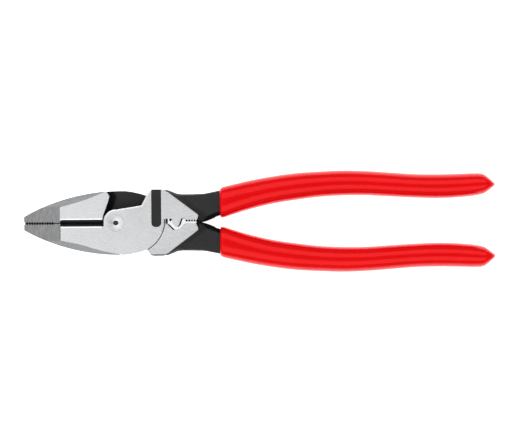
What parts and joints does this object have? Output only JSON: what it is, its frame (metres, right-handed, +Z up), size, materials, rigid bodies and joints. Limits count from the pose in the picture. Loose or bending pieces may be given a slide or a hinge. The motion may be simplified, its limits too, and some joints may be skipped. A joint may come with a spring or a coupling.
{
  "type": "lineman pliers",
  "caption": "Heavy side-cutting pliers: toothed jaws, wire cutters and a crimping die on one riveted lap joint, with curved red dipped grips.",
  "frame": {"origin": "on the rivet's axis, in the flat face of the head that the closed tool lies on", "axes": "+X from the joint to the grips along the tool's length, +Y across the tool towards the upper grip, +Z up through its thickness"},
  "size_m": [0.2399, 0.0518, 0.0156],
  "materials": {
    "forged_steel": "ground and polished head with a black oxide neck",
    "rivet_steel": "ground flush with the head",
    "red_vinyl": "smooth glossy dipped vinyl"
  },
  "bodies": {
    "front_lever": {"front_lever": "forged_steel", "joint_rivet": "rivet_steel", "upper_grip": "red_vinyl"},
    "rear_lever": {"rear_lever": "forged_steel", "lower_grip": "red_vinyl"}
  },
  "joints": [
    {"name": "jaw_opening", "type": "hinge", "parent": "front_lever", "child": "rear_lever", "pos_m": [0, 0, 0.0078], "axis": [0, 0, -1], "range_deg": [0, 50]}
  ]
}
